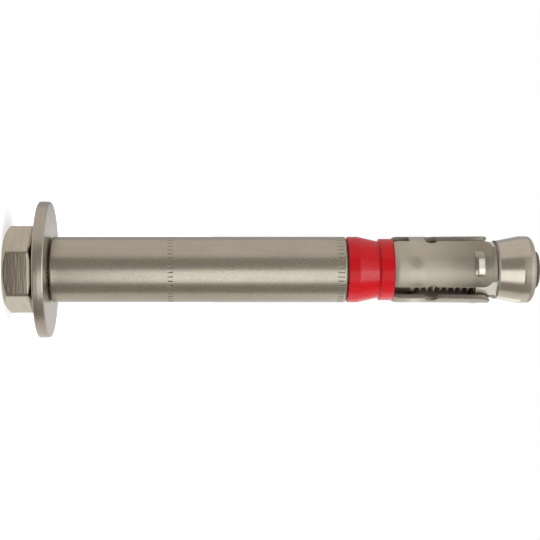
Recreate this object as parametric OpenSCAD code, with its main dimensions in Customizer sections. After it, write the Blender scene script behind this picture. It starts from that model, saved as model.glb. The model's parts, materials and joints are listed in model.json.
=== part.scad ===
// Sleeve expansion anchor: a hexagon bolt draws a cone nut into a slotted sleeve, which grips its hole.
// The anchor stands on the bolt's head, with the bolt's axis on Z and the tip up.
// All lengths are in millimetres.

/* [Bolt] */
// Length of the threaded end
thread_len = 28; // [18:0.5:40]
// How far the thread's crests lie below the shank
thread_drop = 0.075; // [0.025:0.025:0.3]
// How far the bolt's tip stands out of the cone nut
tip_out = 1.25; // [0.5:0.05:6]
// Chamfer at the bolt's tip
tip_chamfer = 1; // [0.4:0.1:2]
// Width of the head across its flats
head_af = 17; // [16:0.1:19]
// Width of the head across its rounded corners
head_corner_d = 19.15; // [18.2:0.05:21]
// Height of the hexagon
head_h = 6.4; // [5:0.1:8]
// Diameter of the flat on top of the head
head_top_d = 16.1; // [14:0.1:16.6]
// Slope of the chamfer round the top of the head, in degrees
head_chamfer_angle = 31; // [20:1:40]
// Height of the broken edge under each flat of the head
edge_break_h = 0.8; // [0.3:0.1:1.2]
// Depth of that broken edge
edge_break_w = 0.45; // [0.1:0.05:0.8]
// Turn of the head about the bolt's axis, in degrees
head_turn = 4.8; // [0:0.1:60]
// Diameter of the raised bearing face under the head
collar_face_d = 15.6; // [14:0.1:16.5]
// Height of that bearing face
collar_face_h = 0.6; // [0.2:0.1:1]
// Fillet between the head and the shank
head_fillet = 0.4; // [0.2:0.05:0.6]

/* [Washer] */
// Outside diameter of the washer
washer_d = 30; // [24:0.5:36]
// Thickness of the washer
washer_t = 2.5; // [1.6:0.1:4]
// Rounding of the washer's rim
washer_edge = 0.35; // [0.1:0.05:0.6]

/* [Sleeves] */
// Outside diameter of both sleeves, for a hole 0.6 mm wider
body_d = 14.4; // [13:0.1:15.8]
// Wall of the distance sleeve, which leaves the room for the bolt
sleeve_wall = 2.1; // [1.8:0.05:2.4]
// Length of the distance sleeve
sleeve_len = 64.3; // [30:0.5:120]
// Rounding of the distance sleeve's ends
sleeve_edge = 0.4; // [0.1:0.05:0.7]

/* [Crush collar] */
// Length of the collar
collar_len = 10; // [9:0.1:14]
// Length of its full-width end, beside the distance sleeve
collar_land = 2.4; // [1:0.1:3]
// Length of the taper down to its waist
collar_taper = 4.2; // [2.5:0.1:5]
// Wall left at the waist
collar_wall = 1.15; // [0.8:0.05:1.5]
// Width of the waist before the ring
waist_len = 0.35; // [0.2:0.05:0.8]
// How far the ring lies below the sleeves' outside
ring_step = 0.45; // [0.2:0.05:0.7]
// Rounding of the collar's moulded edges
collar_edge = 0.3; // [0.1:0.05:0.5]

/* [Expansion sleeve] */
// Length of the expansion sleeve
exp_len = 21.1; // [18:0.1:30]
// Thickness of its strip
strip_t = 0.95; // [0.7:0.05:1.15]
// Number of leaves
leaves = 3; // [2:1:4]
// Direction of the open seam about the axis, in degrees
seam_at = -44; // [-180:1:180]
// Width of the seam and of the slots between the leaves
slot_w = 3.3; // [1.5:0.1:4]
// Depth of the short slots cut from the collar's end
short_slot = 3.5; // [1.5:0.1:4.5]
// Length of the bridges that join the leaves
bridge_len = 3.3; // [2:0.1:5]
// Half length along the axis of the relief notch that ends each slot
notch_r = 1.4; // [0.8:0.1:1.6]
// How far the relief notch bites into the leaf on each side
notch_bite = 0.9; // [0.5:0.1:1.5]
// How far the notch in the seam lies off the middle, because the strip's two ends aren't cut alike
seam_notch_shift = 0.5; // [0:0.1:1]
// Rounding of the leaves' tip corners
leaf_corner = 2.4; // [0.5:0.1:3]
// How far the leaves spread outwards at their tips
leaf_splay = 0.1; // [0:0.05:0.2]
// Length of the lead-in inside the leaves' tips
lead_len = 1.2; // [0.6:0.1:2]
// Depth of that lead-in
lead_depth = 0.4; // [0.1:0.05:0.5]
// Length of the coined edge at the collar's end
coin_len = 0.9; // [0.3:0.1:1.5]
// Depth of that coined edge
coin_depth = 0.2; // [0.05:0.05:0.3]
// Distance of the gripping scale's crest from the leaf's tip
scale_from_tip = 3.3; // [3:0.05:6]
// Height of the scale's crest over the sleeves' outside
scale_h = 0.25; // [0.2:0.01:0.27]
// Height of its steep edge over the sleeves' outside
scale_edge_h = 0.2; // [0.1:0.01:0.2]
// Run of the scale from its crest back to its steep edge
scale_back = 0.7; // [0.3:0.05:1]
// Run of the scale from its crest towards the tip, down to the sleeves' outside
scale_run = 2.15; // [1.5:0.05:2.6]
// Half the arc that a scale spans, in degrees
scale_arc = 22; // [15:1:30]
// How far the scales lie off the leaves' middles, in degrees
scale_turn = 4; // [-8:1:8]

/* [Cone nut] */
// How far the neck reaches into the leaves
neck_in = 3.3; // [3.1:0.1:5]
// Distance from the leaves' tips to the bead on the neck
bead_from_tip = 1; // [0.8:0.05:3]
// Width of the bead
bead_w = 0.7; // [0.5:0.05:1.2]
// Height of the bead over the neck
bead_h = 0.25; // [0.1:0.05:0.3]
// Height of the taper's small end over the neck
taper_step = 0.17; // [0.05:0.01:0.25]
// Length of the taper
taper_len = 4.9; // [3:0.1:7]
// Length of the land behind the taper, up to its rounded end
land_len = 1.6; // [0.8:0.1:4]
// Rounding of the cone nut's end
cone_round = 1.2; // [0.5:0.1:2]
// How much wider than the sleeves the land is
cone_over = 0.25; // [0.05:0.05:0.5]
// Wall between the thread and the flats that face the slots
flat_wall = 0.8; // [0.6:0.05:1]
// Countersink where the bolt leaves the cone nut
countersink = 0.5; // [0.2:0.1:0.8]

/* [Fits] */
// Radial clearance of the distance sleeve and the collar on the shank
shank_clear = 0.1; // [0.05:0.01:0.2]
// Radial clearance of the washer on the shank
washer_clear = 0.25; // [0.1:0.05:0.5]
// Radial clearance of the cone nut on the thread
thread_clear = 0.05; // [0.02:0.01:0.1]
// Radial clearance of the cone nut's neck in the leaves
neck_clear = 0.1; // [0.05:0.01:0.2]
// Axial play between the bolt's head and the washer
head_play = 0.3; // [0.1:0.05:1]
// Axial play at each end of the distance sleeve
sleeve_play = 0.25; // [0.1:0.05:0.6]

/* [Hidden] */
$fn = 96;

// Overlap of a cutter past the face that it cuts
cut = 1;

// How far the tip corners' centres are raised, so that their arcs cross the leaves' ends at an angle
corner_lift = 0.1;

// Levels along the axis
washer_z = head_h + collar_face_h + head_play;
sleeve_z = washer_z + washer_t + sleeve_play;
collar_z = sleeve_z + sleeve_len + sleeve_play;
exp_z = collar_z + collar_len;
leaf_tip_z = exp_z + exp_len;
cone_z = leaf_tip_z - neck_in;
cone_len = neck_in + bead_from_tip + bead_w + taper_len + land_len + cone_round;
bolt_top_z = cone_z + cone_len + tip_out;

// Radii that mate
body_r = body_d / 2;
shank_bore_r = body_r - sleeve_wall;
shank_r = shank_bore_r - shank_clear;
thread_r = shank_r - thread_drop;
exp_bore_r = body_r - strip_t;
neck_r = exp_bore_r - neck_clear;
cone_bore_r = thread_r + thread_clear;
cone_r = body_r + cone_over / 2;

// Angle between neighbouring leaves
leaf_pitch = 360 / leaves;

// Points of an arc about a centre, from one angle to another
function arc(centre, r, from, to, steps = 6) =
    [for (i = [0:steps]) let (a = from + (to - from) * i / steps) centre + r * [cos(a), sin(a)]];

// Height of the chamfer round the top of the head
head_chamfer_h = (head_corner_d - head_top_d) / 2 * tan(head_chamfer_angle);

// Solid of revolution about Z
module turned(points) {
    rotate_extrude()
        polygon(points);
}

// Plain ring with its outer edges rounded
module rounded_ring(d, bore_r, length, edge) {
    outer = d / 2 - edge;
    turned(concat(
        [[bore_r, 0]],
        arc([outer, edge], edge, -90, 0),
        arc([outer, length - edge], edge, 0, 90),
        [[bore_r, length]]
    ));
}

// Hexagon with a conical chamfer on top and its lower edges broken, crown down
module bolt_head() {
    flat = head_af / 2;
    break_z = head_h - edge_break_h;
    difference() {
        intersection() {
            rotate(head_turn)
                cylinder(d = head_af / cos(30), h = head_h, $fn = 6);
            turned([
                [0, 0], [head_top_d / 2, 0], [head_corner_d / 2, head_chamfer_h],
                [head_corner_d / 2, head_h], [0, head_h]
            ]);
        }
        for (side = [0:5])
            rotate(head_turn + 30 + 60 * side)
                rotate([90, 0, 0])
                    linear_extrude(head_corner_d, center = true)
                        polygon([
                            [flat, break_z], [flat - edge_break_w, head_h], [flat - edge_break_w, head_h + cut],
                            [flat + cut, head_h + cut], [flat + cut, break_z]
                        ]);
    }
}

// Bearing face, shank and threaded end, all turned on one axis
module bolt_shank() {
    face_z = head_h + collar_face_h;
    thread_z = bolt_top_z - thread_len;
    turned(concat(
        [[0, head_h - cut], [collar_face_d / 2, head_h - cut], [collar_face_d / 2, face_z]],
        arc([shank_r + head_fillet, face_z + head_fillet], head_fillet, 270, 180, 4),
        [
            [shank_r, thread_z], [thread_r, thread_z + thread_drop],
            [thread_r, bolt_top_z - tip_chamfer], [thread_r - tip_chamfer, bolt_top_z], [0, bolt_top_z]
        ]
    ));
}

// One forging: head, shank and thread
module hex_bolt() {
    color("#a79c8a") {
        bolt_head();
        bolt_shank();
    }
}

// Large stamped washer
module washer() {
    color("#9f937f")
        translate([0, 0, washer_z])
            rounded_ring(washer_d, shank_r + washer_clear, washer_t, washer_edge);
}

// Tube that carries the load from the washer to the collar
module distance_sleeve() {
    color("#a39a88")
        translate([0, 0, sleeve_z])
            rounded_ring(body_d, shank_bore_r, sleeve_len, sleeve_edge);
}

// Plastic collar that collapses to let the fixture be pulled tight
module crush_collar() {
    waist_r = shank_bore_r + collar_wall;
    ring_r = body_r - ring_step;
    waist_z = collar_land + collar_taper;
    ring_z = waist_z + waist_len;
    color("#c8202a")
        translate([0, 0, collar_z])
            turned(concat(
                [[shank_bore_r, 0]],
                arc([body_r - collar_edge, collar_edge], collar_edge, -90, 0, 4),
                [[body_r, collar_land], [waist_r, waist_z], [waist_r, ring_z]],
                arc([ring_r - collar_edge, ring_z + collar_edge], collar_edge, -90, 0, 4),
                [[ring_r, collar_len], [shank_bore_r, collar_len]]
            ));
}

// Rolled wall of the expansion sleeve, coined at the collar's end and relieved inside the tips
module exp_wall() {
    tip_bore_r = exp_bore_r + leaf_splay;
    bridge_end = short_slot + bridge_len;
    lead_z = exp_len - lead_len;
    lead_share = (lead_z - bridge_end) / (exp_len - bridge_end);
    turned([
        [exp_bore_r, 0], [body_r - coin_depth, 0], [body_r, coin_len], [body_r, bridge_end],
        [body_r + leaf_splay, exp_len], [tip_bore_r + lead_depth, exp_len],
        [exp_bore_r + leaf_splay * lead_share, lead_z], [exp_bore_r, bridge_end]
    ]);
}

// Outline of a slot from z0 to the leaves' tips, flared by the rounded tip corners
module slot_outline(z0) {
    half = slot_w / 2;
    corner_z = exp_len - leaf_corner + corner_lift;
    translate([-half, z0])
        square([slot_w, exp_len + cut - z0]);
    for (side = [0, 1])
        mirror([side, 0])
            difference() {
                translate([0, corner_z])
                    square([half + leaf_corner, exp_len + cut - corner_z]);
                translate([half + leaf_corner, corner_z])
                    circle(leaf_corner);
            }
}

// Cutter that carries an outline in the plane of tangent and axis outwards through the wall
module through_wall() {
    rotate([90, 0, 90])
        linear_extrude(body_r + cut)
            children();
}

// Relief notch that bites into the leaves on both sides of a slot
module relief_notch(shift) {
    reach = slot_w / 2 + notch_bite - notch_r;
    translate([shift, short_slot + bridge_len + notch_r]) {
        translate([-reach, -notch_r])
            square([2 * reach, 2 * notch_r]);
        for (side = [-1, 1])
            translate([side * reach, 0])
                circle(notch_r);
    }
}

// Slot between two leaves: short slot, bridge, notch and long slot, or the seam along the whole strip
module slot(is_seam) {
    through_wall()
        slot_outline(is_seam ? -cut : short_slot + bridge_len + notch_r);
    through_wall()
        relief_notch(is_seam ? seam_notch_shift : 0);
    if (!is_seam)
        through_wall()
            translate([-slot_w / 2, -cut])
                square([slot_w, short_slot + cut]);
}

// Ridge of a gripping scale from root_r outwards, sunk by a depth below its true height
module scale_ridge(root_r, sunk = 0) {
    translate([0, 0, exp_len - scale_from_tip])
        rotate(scale_turn - scale_arc)
            rotate_extrude(angle = 2 * scale_arc)
                polygon([
                    [root_r, -scale_back], [body_r + scale_edge_h - sunk, -scale_back],
                    [body_r + scale_h - sunk, 0], [body_r - sunk, scale_run], [root_r, scale_run]
                ]);
}

// Turns its children to the middle of every leaf
module on_leaves() {
    for (leaf = [0:leaves - 1])
        rotate(seam_at + leaf_pitch * (leaf + 0.5))
            children();
}

// Strip rolled round to an open seam, with leaves joined by bridges and a scale pressed out of each
module expansion_sleeve() {
    color("#a79f90")
        translate([0, 0, exp_z])
            difference() {
                union() {
                    exp_wall();
                    on_leaves()
                        scale_ridge(body_r - strip_t / 2);
                }
                on_leaves()
                    scale_ridge(exp_bore_r - cut, sunk = strip_t);
                for (leaf = [0:leaves - 1])
                    rotate(seam_at + leaf_pitch * leaf)
                        slot(leaf == 0);
            }
}

// Turned cone with a beaded neck, and a flat facing each slot of the expansion sleeve
module cone_nut() {
    bead_z = neck_in + bead_from_tip;
    taper_z = bead_z + bead_w;
    land_z = taper_z + taper_len;
    end_z = land_z + land_len;
    taper_r = neck_r + taper_step;
    flat_r = cone_bore_r + flat_wall;
    color("#ab9f8e")
        translate([0, 0, cone_z])
            difference() {
                turned(concat(
                    [
                        [0, 0], [neck_r, 0], [neck_r, bead_z], [neck_r + bead_h, bead_z + bead_w / 3],
                        [neck_r + bead_h, bead_z + bead_w * 2 / 3], [taper_r, taper_z], [cone_r, land_z]
                    ],
                    arc([cone_r - cone_round, end_z], cone_round, 0, 90),
                    [[0, cone_len]]
                ));
                translate([0, 0, -cut])
                    cylinder(r = cone_bore_r, h = cone_len + 2 * cut);
                translate([0, 0, cone_len - countersink])
                    cylinder(r1 = cone_bore_r, r2 = cone_bore_r + countersink + cut, h = countersink + cut);
                for (leaf = [0:leaves - 1])
                    rotate(seam_at + leaf_pitch * leaf)
                        translate([flat_r, -body_r, -cut])
                            cube([body_r, body_d, bead_z + bead_w / 2 + cut]);
            }
}

hex_bolt();
washer();
distance_sleeve();
crush_collar();
expansion_sleeve();
cone_nut();
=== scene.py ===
"""Sleeve expansion anchor, dressed for a studio picture.

Each piece of the anchor gets a finely shaped mesh and the finish of the real one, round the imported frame.
All lengths are in metres, and +Z runs along the bolt from its head to its tip.
"""

import json
import math

import bpy
from bpy.props import FloatProperty, FloatVectorProperty, IntProperty, PointerProperty
from mathutils import Matrix, Vector


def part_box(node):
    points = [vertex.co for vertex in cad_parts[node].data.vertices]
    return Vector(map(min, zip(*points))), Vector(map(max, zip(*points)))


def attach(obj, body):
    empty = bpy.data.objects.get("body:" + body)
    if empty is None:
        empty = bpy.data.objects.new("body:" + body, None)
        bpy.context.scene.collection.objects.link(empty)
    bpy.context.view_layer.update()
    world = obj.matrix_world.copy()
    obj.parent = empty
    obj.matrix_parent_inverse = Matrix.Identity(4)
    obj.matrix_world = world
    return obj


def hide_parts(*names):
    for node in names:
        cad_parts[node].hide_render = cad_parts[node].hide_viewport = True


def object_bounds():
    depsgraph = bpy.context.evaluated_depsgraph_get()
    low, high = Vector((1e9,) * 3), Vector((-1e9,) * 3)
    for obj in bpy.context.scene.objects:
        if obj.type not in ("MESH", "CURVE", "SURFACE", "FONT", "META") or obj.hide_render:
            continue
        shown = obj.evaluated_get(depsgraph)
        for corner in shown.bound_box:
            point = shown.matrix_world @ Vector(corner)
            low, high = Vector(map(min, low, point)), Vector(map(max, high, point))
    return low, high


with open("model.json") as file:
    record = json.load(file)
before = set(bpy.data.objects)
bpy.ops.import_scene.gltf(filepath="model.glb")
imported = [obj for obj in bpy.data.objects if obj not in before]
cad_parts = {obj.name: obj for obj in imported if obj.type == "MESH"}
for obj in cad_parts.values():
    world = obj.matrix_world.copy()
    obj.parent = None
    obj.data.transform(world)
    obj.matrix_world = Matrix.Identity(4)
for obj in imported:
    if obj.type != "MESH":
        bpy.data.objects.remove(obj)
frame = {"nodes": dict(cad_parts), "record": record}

bl_info = {
    "name": "Sleeve Expansion Anchor",
    "version": (1, 0, 0),
    "blender": (4, 5, 0),
    "location": "View3D > Sidebar > Anchor",
    "description": "Shapes and finishes the pieces of a sleeve expansion anchor and sets its studio stage",
    "category": "Object",
}

CAD_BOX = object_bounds()
MM = 0.001
TURN = 2 * math.pi

# What the frame says of each piece: its ends along the axis, its outside radius and its body
ENDS = {node: (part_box(node)[0].z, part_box(node)[1].z) for node in frame["nodes"]}
OUTSIDE = {node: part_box(node)[1].x for node in frame["nodes"]}
BODY = {node: body for body, nodes in frame["record"]["behaviour"]["bodies"].items() for node in nodes}
BODY_R = OUTSIDE["distance_sleeve"]
STRIP_LENGTH = ENDS["expansion_sleeve"][1] - ENDS["expansion_sleeve"][0]

# Rows of points this far beside an edge keep its shading crisp
HOLD = 0.05 * MM
# Edges that turn by more than this are shaded sharp
SHARP_ANGLE = math.radians(38)
# Values of a noise pattern that are spread over a finish's whole range, softly or hard
SOFT_SPREAD = {"From Min": 0.3, "From Max": 0.7}
HARD_SPREAD = {"From Min": 0.35, "From Max": 0.65}
# Sockets of a node that mixes colours, whose names aren't unique
MIX_SHARE, MIX_FIRST, MIX_SECOND, MIXED = 0, 6, 7, 2
# Watts a square metre at which a lamp is as bright as the white surroundings
LAMP_WATTS = 4


def linear(hex_colour):
    """Turns an sRGB hex value into linear red, green and blue."""
    channels = [int(hex_colour[i:i + 2], 16) / 255 for i in (1, 3, 5)]
    return tuple(c / 12.92 if c <= 0.04045 else ((c + 0.055) / 1.055) ** 2.4 for c in channels)


def number(name, description, value):
    """A plain number that a user may change."""
    return FloatProperty(name=name, description=description, default=value)


def length(name, description, millimetres):
    """A length that a user may change, given in millimetres."""
    value = millimetres * MM
    return FloatProperty(
        name=name, description=description, default=value, precision=5, unit="LENGTH", subtype="DISTANCE"
    )


def angle(name, description, degrees):
    """An angle that a user may change, given in degrees."""
    value = math.radians(degrees)
    return FloatProperty(name=name, description=description, default=value, unit="ROTATION", subtype="ANGLE")


def band(name, description, low, high):
    """Two levels along the bolt's axis that a user may change, given in millimetres."""
    levels = (low * MM, high * MM)
    return FloatVectorProperty(name=name, description=description, default=levels, size=2, unit="LENGTH")


def arc(name, description, start, end):
    """Two angles from the camera's direction that a user may change, given in degrees."""
    angles = (math.radians(start), math.radians(end))
    return FloatVectorProperty(name=name, description=description, default=angles, size=2, unit="ROTATION")


def colour(name, description, hex_colour):
    """A colour that a user may change, given as an sRGB hex value."""
    return FloatVectorProperty(
        name=name, description=description, default=linear(hex_colour), size=3, min=0, max=1, subtype="COLOR"
    )


class BoltSettings(bpy.types.PropertyGroup):
    """Sizes and colours of the hexagon bolt"""

    flats: length("Across flats", "Width of the head across its flats", 17)
    corners: length("Across corners", "Width of the head across its rounded corners", 19.15)
    head_height: length("Head height", "Height of the hexagon", 6.4)
    head_top: length("Head top", "Diameter of the flat on top of the head", 16.1)
    head_chamfer: angle("Head chamfer", "Slope of the chamfer round the top of the head", 31)
    head_turn: angle("Head turn", "Turn of the head about the bolt's axis", 4.8)
    strip_height: length("Rubbed edge height", "Height of the edge that the die rubs under each flat", 0.8)
    strip_slope: angle("Rubbed edge slope", "Slope of that edge against the flat", 8)
    break_height: length("Broken edge height", "Height of the broken edge under each flat", 0.26)
    break_depth: length("Broken edge depth", "Depth of the broken edge under each flat", 0.45)
    under_height: length("Under chamfer height", "Height of the chamfer under the head's corners", 0.55)
    under_depth: length("Under chamfer depth", "Depth of that chamfer at the corners", 1.2)
    soft_edge: length("Soft edge", "How far the chamfer blends into the sides of the head", 0.22)
    soft_corner: length("Soft corner", "How far the corners of the head blend into its flats", 0.06)
    bearing: length("Bearing face", "Diameter of the raised bearing face under the head", 15.6)
    bearing_height: length("Bearing height", "Height of the bearing face", 0.6)
    fillet: length("Fillet", "Fillet between the head and the shank", 0.4)
    shank: length("Shank", "Diameter of the plain shank", 10)
    thread: length("Thread", "Diameter over the crests of the thread", 9.85)
    thread_length: length("Thread length", "Length of the threaded end", 28)
    thread_depth: length("Thread depth", "Depth of the thread's groove", 0.92)
    pitch: length("Pitch", "Distance between two crests of the thread", 1.5)
    tip_chamfer: length("Tip chamfer", "Chamfer at the bolt's tip", 1)
    steel: colour("Steel", "Colour of the forged steel", "#A69A84")
    trimmed: colour("Trimmed flats", "Colour of the flats that the die trimmed", "#ADA190")
    # The rubbed edge's darker, browner colour is painted shade under the head, next to the washer
    rubbed: colour("Rubbed edge", "Colour of the stained edge under the flats", "#867B68")
    wax: colour("Wax", "Colour of the dry wax on the thread", "#8F8678")
    # The sheared end's dark colour is painted shade at the bolt's tip
    sheared: colour("Sheared end", "Colour of the sheared end of the bolt", "#665B52")


class WasherSettings(bpy.types.PropertyGroup):
    """Sizes and colour of the washer"""

    bore: length("Bore", "Diameter of the washer's hole", 10.5)
    edge: length("Edge", "Rounding of the rim", 0.35)
    rim_taper: length("Rim taper", "How far the stamped rim draws in towards the bearing face", 0.07)
    steel: colour("Steel", "Colour of the stamped steel", "#A3988A")


class TubeSettings(bpy.types.PropertyGroup):
    """Sizes and colours of the distance sleeve"""

    bore: length("Bore", "Diameter of the tube's bore", 10.2)
    edge: length("Edge", "Rounding of the tube's ends", 0.4)
    ticks: IntProperty(name="Ticks", description="Tick marks in each ring round the tube", default=44, min=12)
    tick_width: length("Tick width", "Width of a tick mark", 0.16)
    tick_depth: length("Tick depth", "Depth of a tick mark", 0.055)
    tick_turn: angle("Tick turn", "Direction of one of the tick marks about the axis", 4.6)
    middle_ring: length("Middle ring", "Distance of the middle ring of ticks from the washer's end", 25.5)
    middle_ticks: length("Middle ticks", "Length of the ticks in the middle ring", 1.1)
    end_ticks: length("End ticks", "Length of the ticks at the collar's end", 1.4)
    end_gap: length("End gap", "Distance of those ticks from the end", 0.65)
    steel: colour("Steel", "Colour of the drawn steel", "#A39889")
    # The tick marks' darker colour is painted shade in their grooves
    pressed: colour("Pressed steel", "Colour of the steel in the tick marks", "#7F7568")


class CollarSettings(bpy.types.PropertyGroup):
    """Sizes and colour of the crush collar"""

    bore: length("Bore", "Diameter of the collar's bore", 10.2)
    land: length("Land", "Length of the full-width end", 2.4)
    taper: length("Taper", "Length of the taper down to the waist", 4.2)
    waist_wall: length("Waist wall", "Wall left at the waist", 1.15)
    waist: length("Waist", "Width of the waist", 0.35)
    ring_step: length("Ring step", "How far the ring lies below the sleeves' outside", 0.45)
    edge: length("Edge", "Rounding of the moulded edges", 0.3)
    parting_at: angle("Parting line", "Direction of the mould's parting line about the axis", -86.5)
    parting_height: length("Parting height", "Height of the parting line", 0.035)
    plastic: colour("Plastic", "Colour of the moulded plastic", "#B1040F")


class StripSettings(bpy.types.PropertyGroup):
    """Sizes and colours of the expansion sleeve, rolled from strip"""

    thickness: length("Thickness", "Thickness of the strip", 0.95)
    leaves: IntProperty(name="Leaves", description="Number of leaves", default=3, min=2, max=4)
    seam_at: angle("Seam", "Direction of the open seam about the axis", -44)
    slot: length("Slot", "Width of the seam and of the slots between the leaves", 3.3)
    short_slot: length("Short slot", "Depth of the short slots at the collar's end", 3.5)
    bridge: length("Bridge", "Length of the bridges that join the leaves", 3.3)
    notch: length("Notch", "Half length along the axis of the relief notches", 1.4)
    notch_bite: length("Notch bite", "How far a relief notch bites into the leaf", 0.9)
    seam_shift: length("Seam shift", "How far the notch in the seam lies off its middle", 0.5)
    corner: length("Corner", "Rounding of the leaves' tip corners", 2.4)
    corner_lift: length("Corner lift", "How far the rounding's centre is raised", 0.1)
    splay: length("Splay", "How far the leaves spread outwards at their tips", 0.1)
    lead_length: length("Lead-in length", "Length of the lead-in inside the tips", 1.2)
    lead_depth: length("Lead-in depth", "Depth of the lead-in inside the tips", 0.4)
    coin_length: length("Coined length", "Length of the coined edge at the collar's end", 0.9)
    coin_depth: length("Coined depth", "Depth of the coined edge", 0.2)
    scale_from_tip: length("Scale place", "Distance of the gripping scale's crest from the tip", 3.3)
    scale_height: length("Scale height", "Height of the scale's crest over the sleeves' outside", 0.25)
    scale_edge_height: length("Scale edge height", "Height of its steep edge over the sleeves' outside", 0.2)
    scale_back: length("Scale back", "Run of the scale from its crest back to its steep edge", 0.7)
    scale_run: length("Scale run", "Run of the scale from its crest down to the sleeves' outside", 2.15)
    scale_arc: angle("Scale arc", "Half the arc that a scale spans", 22)
    scale_turn: angle("Scale turn", "How far the scales lie off the leaves' middles", 4)
    scale_end: angle("Scale end", "Arc in which a scale runs out at its ends", 3)
    edge: length("Edge", "Width of the rolled-over cut edges", 0.22)
    burnish_at: length("Burnish place", "Distance of the burnished band from the collar's end", 4.6)
    burnish: length("Burnish", "Half the width of that band", 2.6)
    # Where the leaves turn smoother and darker towards their tips; the darkening is painted shade
    tip_shade_from: length("Stain start", "Distance from the tips where the die starts to stain the leaves", 15)
    tip_shade_to: length("Stain end", "Distance from the tips where that stain is full", 2)
    steel: colour("Steel", "Colour of the rolled strip", "#AA9F8F")
    sheared: colour("Sheared edges", "Colour of the punched edges", "#9E9386")


class ConeSettings(bpy.types.PropertyGroup):
    """Sizes and colours of the cone nut"""

    bore: length("Bore", "Diameter of the cone nut's bore", 9.95)
    neck: length("Neck", "Diameter of the neck", 12.3)
    neck_length: length("Neck length", "How far the neck reaches into the leaves", 3.3)
    bead_from_tip: length("Bead place", "Distance from the leaves' tips to the bead", 1)
    bead_width: length("Bead width", "Width of the bead", 0.7)
    bead_height: length("Bead height", "Height of the bead over the neck", 0.25)
    taper_step: length("Taper step", "Height of the taper's small end over the neck", 0.17)
    taper: length("Taper", "Length of the taper", 4.9)
    rounding: length("Rounding", "Rounding of the end", 1.2)
    flat_wall: length("Flat wall", "Wall between the bore and the flats that face the slots", 0.8)
    countersink: length("Countersink", "Countersink where the bolt comes out", 0.5)
    steel: colour("Steel", "Colour of the turned steel", "#B0A495")
    # The milled flats' pale colour is a painted reflection of the white round them
    milled: colour("Milled flats", "Colour of the milled flats", "#E0DBCE")
    # The rough neck's colour, darkened further in its finish, is painted shade beside the leaves' tips
    rough: colour("Rough neck", "Colour of the rough-turned neck and bead", "#9B9083")


class StageSettings(bpy.types.PropertyGroup):
    """Camera, lamps and surroundings"""

    camera_distance: length("Camera distance", "Distance of the camera from the bolt's axis", 292)
    camera_height: length("Camera height", "Level of the camera along the bolt's axis", 45.66)
    camera_drop: length("Camera drop", "How far the camera lies off the bolt's axis", 0.11)
    view_width: length("View width", "Width of the picture at the bolt's axis", 118.8)
    shift: number("Shift", "Sideways shift of the lens", 0.1028)
    panel_distance: length("Panel distance", "Distance of the lamps and the cards from the bolt's axis", 450)
    strip_arc: arc("Strip lamp arc", "Where the long strip lamp stands about the axis", 4, 44.5)
    strip_band: band("Strip lamp band", "Ends of the strip lamp along the axis", -40, 159)
    strip_level: number("Strip level", "Strip lamp over the white round it", 1.1)
    key_arc: arc("Key lamp arc", "Where the key lamp stands about the axis", -2, 46)
    key_band: band("Key lamp band", "Ends of the key lamp along the axis", 338, 420)
    key_level: number("Key level", "Key lamp over the white round it", 8)
    ridge_distance: length("Ridge lamp distance", "Distance of the ridge lamp from the bolt's axis", 425)
    ridge_arc: arc("Ridge lamp arc", "Where the lamp that the scales reflect stands about the axis", -42, 16)
    ridge_band: band("Ridge lamp band", "Ends of the ridge lamp along the axis", 266, 323)
    ridge_level: number("Ridge level", "Ridge lamp over the white round it", 2.2)
    low_arc: arc("Low lamp arc", "Where the lamp under the head stands about the axis", 104, 152)
    low_band: band("Low lamp band", "Ends of the low lamp along the axis", -330, -47)
    low_level: number("Low level", "Low lamp over the white round it", 0.25)
    leaf_arc: arc("Leaf lamp arc", "Where the lamp under the leaves stands about the axis", 98, 150)
    leaf_band: band("Leaf lamp band", "Ends of the leaf lamp along the axis", 140, 195)
    leaf_level: number("Leaf level", "Leaf lamp over the white round it", 1.2)
    fill_distance: length("Fill lamp distance", "Distance of the fill lamp from the bolt's axis", 380)
    fill_arc: arc("Fill lamp arc", "Where the fill lamp stands about the axis", 60, 120)
    fill_band: band("Fill lamp band", "Ends of the fill lamp along the axis", -60, 200)
    fill_level: number("Fill level", "Level of the fill lamp, which metal doesn't show", 2.6)
    end_arc: arc("End lamp arc", "Where the lamp beyond the tip stands about the axis", -34, 24)
    end_band: band("End lamp band", "Ends of the lamp beyond the tip along the axis", 450, 900)
    end_level: number("End level", "End lamp over the white round it", 2.5)
    lamp: colour("Lamp", "Colour of the lamps, a little cooler than the white round them", "#E8F7FF")
    upper_arc: arc("Upper card arc", "Where the card on one side of the strip lamp stands", -43, 0)
    lower_arc: arc("Lower card arc", "Where the card on its other side stands", 50, 90)
    side_band: band("Side card band", "Ends of those two cards and the back card", -300, 430)
    head_arc: arc("Head card arc", "Where the head card and the gap card stand", -3, 51)
    head_band: band("Head card band", "Ends of the card beside the bolt's head", -400, -43)
    gap_band: band("Gap card band", "Ends of the card between the strip lamp and the key lamp", 162, 268)
    back_arc: arc("Back card arc", "Where the pale card behind the bolt stands", -176, -128)
    card: colour("Card", "Colour of the grey cards beside the lamps", "#ABA8A5")
    gap_card: colour("Gap card", "Colour of the card between the strip lamp and the key lamp", "#8A8683")
    brown_card: colour("Brown card", "Colour of the card beside the bolt's head", "#5E463C")
    pale_card: colour("Pale card", "Colour of the card behind the bolt", "#B8B8B8")
    floor: colour("Floor", "Colour of the floor", "#F4F4F4")


class AnchorSettings(bpy.types.PropertyGroup):
    """Everything that can be set on the anchor"""

    bolt: PointerProperty(type=BoltSettings)
    washer: PointerProperty(type=WasherSettings)
    tube: PointerProperty(type=TubeSettings)
    collar: PointerProperty(type=CollarSettings)
    strip: PointerProperty(type=StripSettings)
    cone: PointerProperty(type=ConeSettings)
    stage: PointerProperty(type=StageSettings)


# Turned forms

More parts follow.
